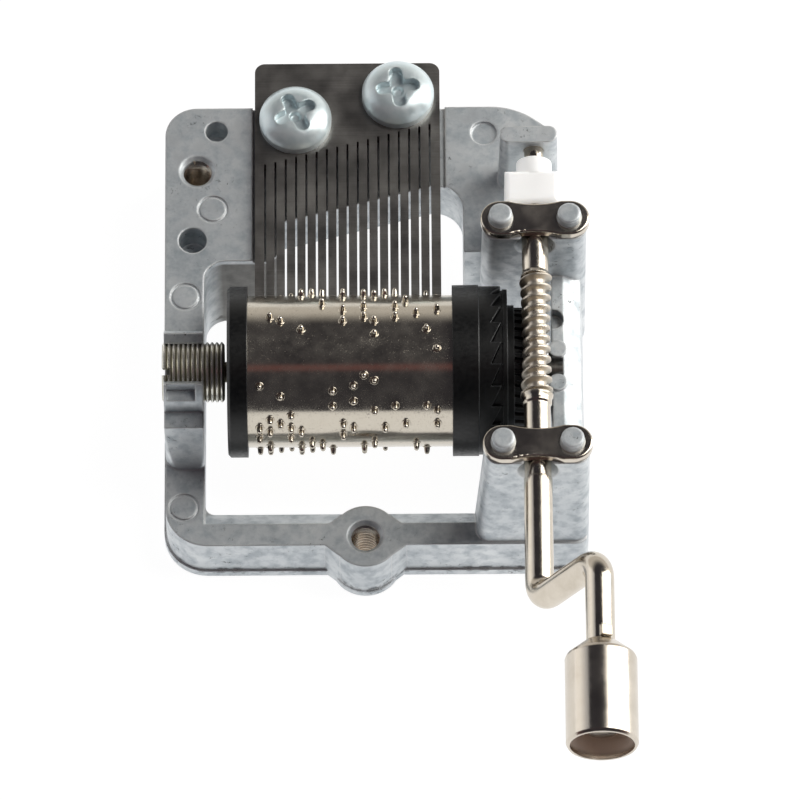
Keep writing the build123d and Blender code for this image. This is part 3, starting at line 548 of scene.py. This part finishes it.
bush_brass, tree = new_material("brass_turned_stained")
place = add(tree, "TexCoord", {})
stain = add(tree, "TexNoise", {"Scale": 1 / (1.0 * mm), "Detail": 4.0}, {"Vector": place.outputs["Object"]})
tone = add(tree, "Mix", {"data_type": "RGBA", 6: linear("A98D74"), 7: linear("D9C2A4")},
           {"Factor": stain.outputs["Fac"]})
gloss = add(tree, "MapRange", {"To Min": 0.35, "To Max": 0.6}, {"Value": stain.outputs["Fac"]})
shader = add(tree, "BsdfPrincipled", {"Metallic": 0.3},
             {"Base Color": tone.outputs[2], "Roughness": gloss.outputs["Result"]})
add(tree, "OutputMaterial", {}, {"Surface": shader.outputs["BSDF"]})
dress("knob_bush", bush_brass)

# ---------------------------------------------------------------- comb
# Eighteen teeth slotted in one plate of hardened steel, surface ground across the teeth and left dark
# by tempering: satin, with a few stains and grinding lines, drawn coarser than real so that they show.
comb_steel, tree = new_material("comb_steel_ground_tempered")
place = add(tree, "TexCoord", {})
stretch = add(tree, "Mapping", {"Scale": (1 / (5 * mm), 1 / (0.09 * mm), 1 / (5 * mm))},
              {"Vector": place.outputs["Object"]})
ground = add(tree, "TexNoise", {"Scale": 1.0, "Detail": 4.0, "Roughness": 0.6},
             {"Vector": stretch.outputs["Vector"]})
stain = add(tree, "TexNoise", {"Scale": 1 / (4 * mm), "Detail": 5.0, "Roughness": 0.62},
            {"Vector": place.outputs["Object"]})
blotch = add(tree, "MapRange", {"From Min": 0.35, "From Max": 0.68}, {"Value": stain.outputs["Fac"]})
tone = add(tree, "Mix", {"data_type": "RGBA", 6: linear("827F7C"), 7: linear("A09D99")},
           {"Factor": blotch.outputs["Result"]})
streak = add(tree, "MapRange", {"From Min": 0.3, "From Max": 0.75, "To Min": 0.86, "To Max": 1.06},
             {"Value": ground.outputs["Fac"]})
lined = add(tree, "VectorMath", {"operation": "SCALE"},
            {0: tone.outputs[2], "Scale": streak.outputs["Result"]})
gloss = add(tree, "MapRange", {"From Min": 0.3, "From Max": 0.7, "To Min": 0.3, "To Max": 0.42},
            {"Value": stain.outputs["Fac"]})
relief = add(tree, "Bump", {"Strength": 0.2, "Distance": 0.01 * mm}, {"Height": ground.outputs["Fac"]})
shader = add(tree, "BsdfPrincipled", {"Metallic": 1.0},
             {"Base Color": lined.outputs["Vector"], "Roughness": gloss.outputs["Result"],
              "Normal": relief.outputs["Normal"]})
add(tree, "OutputMaterial", {}, {"Surface": shader.outputs["BSDF"]})
dress("comb", comb_steel)

# Lead blocks cast under the bass teeth, which lower their pitch, and fine damper wires glued under
# the treble teeth. Lead is dull and bluish; the wire is bare.
lead, tree = new_material("lead_cast_dull")
place = add(tree, "TexCoord", {})
bloom = add(tree, "TexNoise", {"Scale": 1 / (0.6 * mm), "Detail": 5.0}, {"Vector": place.outputs["Object"]})
tone = add(tree, "Mix", {"data_type": "RGBA", 6: linear("595C60"), 7: linear("83878B")},
           {"Factor": bloom.outputs["Fac"]})
relief = add(tree, "Bump", {"Strength": 0.4, "Distance": 0.05 * mm}, {"Height": bloom.outputs["Fac"]})
shader = add(tree, "BsdfPrincipled", {"Metallic": 0.6, "Roughness": 0.6},
             {"Base Color": tone.outputs[2], "Normal": relief.outputs["Normal"]})
add(tree, "OutputMaterial", {}, {"Surface": shader.outputs["BSDF"]})
dress("comb_weights", lead)

damper_wire, tree = new_material("damper_wire_bare")
place = add(tree, "TexCoord", {})
draw = add(tree, "TexNoise", {"Scale": 1 / (0.08 * mm), "Detail": 2.0}, {"Vector": place.outputs["Object"]})
tone = add(tree, "Mix", {"data_type": "RGBA", 6: linear("6C6963"), 7: linear("A5A199")},
           {"Factor": draw.outputs["Fac"]})
shader = add(tree, "BsdfPrincipled", {"Metallic": 1.0, "Roughness": 0.35}, {"Base Color": tone.outputs[2]})
add(tree, "OutputMaterial", {}, {"Surface": shader.outputs["BSDF"]})
dress("comb_dampers", damper_wire)

# ---------------------------------------------------------------- comb screws
# Two pan-head screws with a cross recess clamp the comb. Bright zinc plate gives them a cold bluish
# shine, hazy in places and finely crystalline.
zinc_plate, tree = new_material("zinc_plate_bright_blue")
place = add(tree, "TexCoord", {})
haze = add(tree, "TexNoise", {"Scale": 1 / (0.9 * mm), "Detail": 5.0, "Roughness": 0.65},
           {"Vector": place.outputs["Object"]})
crystal = add(tree, "TexNoise", {"Scale": 1 / (0.14 * mm), "Detail": 2.0},
              {"Vector": place.outputs["Object"]})
tone = add(tree, "Mix", {"data_type": "RGBA", 6: linear("C6DADF"), 7: linear("F2F8FA")},
           {"Factor": haze.outputs["Fac"]})
blur = add(tree, "MapRange", {"From Min": 0.35, "From Max": 0.7, "To Min": 0.28, "To Max": 0.4},
           {"Value": haze.outputs["Fac"]})
rounded = add(tree, "Bevel", {"samples": 6, "Radius": 0.22 * mm})
relief = add(tree, "Bump", {"Strength": 0.25, "Distance": 0.02 * mm},
             {"Height": crystal.outputs["Fac"], "Normal": rounded.outputs["Normal"]})
shader = add(tree, "BsdfPrincipled", {"Metallic": 0.5},
             {"Base Color": tone.outputs[2], "Roughness": blur.outputs["Result"],
              "Normal": relief.outputs["Normal"]})
add(tree, "OutputMaterial", {}, {"Surface": shader.outputs["BSDF"]})
for node in ("comb_screw_left", "comb_screw_right"):
    dress(node, zinc_plate)

# ---------------------------------------------------------------- table and light
# The movement lies on a pale plain sweep. It is lit like small metal goods are: a dark gap overhead,
# a strong soft box on the right, a weaker one on the left and a pale wall low behind.
table = bpy.data.meshes.new("table_sweep")
table_half = 3.0                # metres
corners = [(-table_half, -table_half, 0), (table_half, -table_half, 0), (table_half, table_half, 0),
           (-table_half, table_half, 0)]
table.from_pydata(corners, [], [(0, 1, 2, 3)])
floor = bpy.data.objects.new("table_sweep", table)
bpy.context.collection.objects.link(floor)
paper, tree = new_material("paper_pale_matte")
place = add(tree, "TexCoord", {})
fibre = add(tree, "TexNoise", {"Scale": 1 / (0.8 * mm), "Detail": 3.0}, {"Vector": place.outputs["Object"]})
tone = add(tree, "Mix", {"data_type": "RGBA", 6: linear("F4F4F4"), 7: linear("F8F8F8")},
           {"Factor": fibre.outputs["Fac"]})
card = add(tree, "BsdfDiffuse", {}, {"Color": tone.outputs[2]})
glow = add(tree, "Emission", {"Color": (1.0, 1.0, 1.0, 1.0), "Strength": 1.12})
lit = add(tree, "MixShader", {0: 0.86}, {1: card.outputs["BSDF"], 2: glow.outputs["Emission"]})
add(tree, "OutputMaterial", {}, {"Surface": lit.outputs["Shader"]})
floor.data.materials.append(paper)

world = bpy.data.worlds.new("studio")
bpy.context.scene.world = world
world.use_nodes = True
tree = world.node_tree
tree.nodes.clear()
sky = add(tree, "TexCoord", {})
parts = add(tree, "SeparateXYZ", {}, {"Vector": sky.outputs["Generated"]})
low = add(tree, "MapRange", {"From Min": 0.66, "From Max": 0.22, "interpolation_type": "SMOOTHSTEP"},
          {"Value": parts.outputs["Z"]})
rear = add(tree, "MapRange", {"From Min": -0.25, "From Max": 0.2, "interpolation_type": "SMOOTHSTEP"},
           {"Value": parts.outputs["Y"]})
wall = add(tree, "Math", {"operation": "MULTIPLY"}, {0: low.outputs["Result"], 1: rear.outputs["Result"]})
# a dull red beam of the ceiling crosses the dark gap, a little towards the front
beam_y = -0.36
beam_off = add(tree, "Math", {"operation": "SUBTRACT", 1: beam_y}, {0: parts.outputs["Y"]})
beam_near = add(tree, "Math", {"operation": "ABSOLUTE"}, {0: beam_off.outputs["Value"]})
beam = add(tree, "MapRange", {"From Min": 0.12, "From Max": 0.02, "interpolation_type": "SMOOTHSTEP"},
           {"Value": beam_near.outputs["Value"]})
ceiling = add(tree, "Mix", {"data_type": "RGBA", 6: linear("36353A"), 7: linear("6C4A49")},
              {"Factor": beam.outputs["Result"]})
shade = add(tree, "Mix", {"data_type": "RGBA", 7: linear("D6D2CC")},
            {"Factor": wall.outputs["Value"], 6: ceiling.outputs[2]})
seen = add(tree, "LightPath", {})
pale = add(tree, "Mix", {"data_type": "RGBA", 7: linear("F6F6F6")},
           {"Factor": seen.outputs["Is Camera Ray"], 6: shade.outputs[2]})
air = add(tree, "Background", {"Strength": 1.0}, {"Color": pale.outputs[2]})
add(tree, "OutputWorld", {}, {"Surface": air.outputs["Background"]})

look_at = Vector((3.1, 10.1, 12.0)) * mm


def soft_box(name, tilt, swing, distance, width, depth, radiance, colour):
    """Rectangular area light that faces the object; tilt is from overhead towards +X, swing towards +Y."""
    lamp = bpy.data.lights.new(name, "AREA")
    lamp.shape = "RECTANGLE"
    lamp.size = width
    lamp.size_y = depth
    lamp.energy = radiance * math.pi * width * depth
    lamp.color = linear(colour)[:3]
    piece = bpy.data.objects.new(name, lamp)
    lean = math.radians(tilt)
    rise = math.radians(swing)
    towards = Vector((math.sin(lean) * math.cos(rise), math.sin(rise), math.cos(lean) * math.cos(rise)))
    piece.location = look_at + towards * distance
    piece.rotation_euler = (-towards).to_track_quat("-Z", "Y").to_euler()
    bpy.context.collection.objects.link(piece)


soft_box("soft_box_right", tilt=52, swing=14, distance=0.6, width=0.36, depth=0.9, radiance=4.5,
         colour="FFFDF8")
soft_box("soft_box_left", tilt=-80, swing=14, distance=0.6, width=0.42, depth=0.9, radiance=0.62,
         colour="F4F6FA")

# ---------------------------------------------------------------- camera
# A long lens looks down from in front and above, a hair out of level, so that upright lines stay
# nearly parallel. The view transform is plain sRGB.
elevation = math.radians(63)
roll = math.radians(-0.4)
distance = 0.9
towards = Vector((0, -math.cos(elevation), math.sin(elevation)))
right = Vector((1, 0, 0))
up = Vector((0, math.sin(elevation), math.cos(elevation)))
leaned_right = right * math.cos(roll) + up * math.sin(roll)
leaned_up = up * math.cos(roll) - right * math.sin(roll)
camera_data = bpy.data.cameras.new("camera")
camera_data.lens = 462.8
camera_data.sensor_width = 36
camera_data.clip_start = 0.05
camera_data.clip_end = 20
camera = bpy.data.objects.new("camera", camera_data)
camera.matrix_world = Matrix.Translation(look_at + towards * distance) @ Matrix(
    (leaned_right, leaned_up, towards)).transposed().to_4x4()
bpy.context.collection.objects.link(camera)
bpy.context.scene.camera = camera
bpy.context.scene.view_settings.view_transform = "Standard"
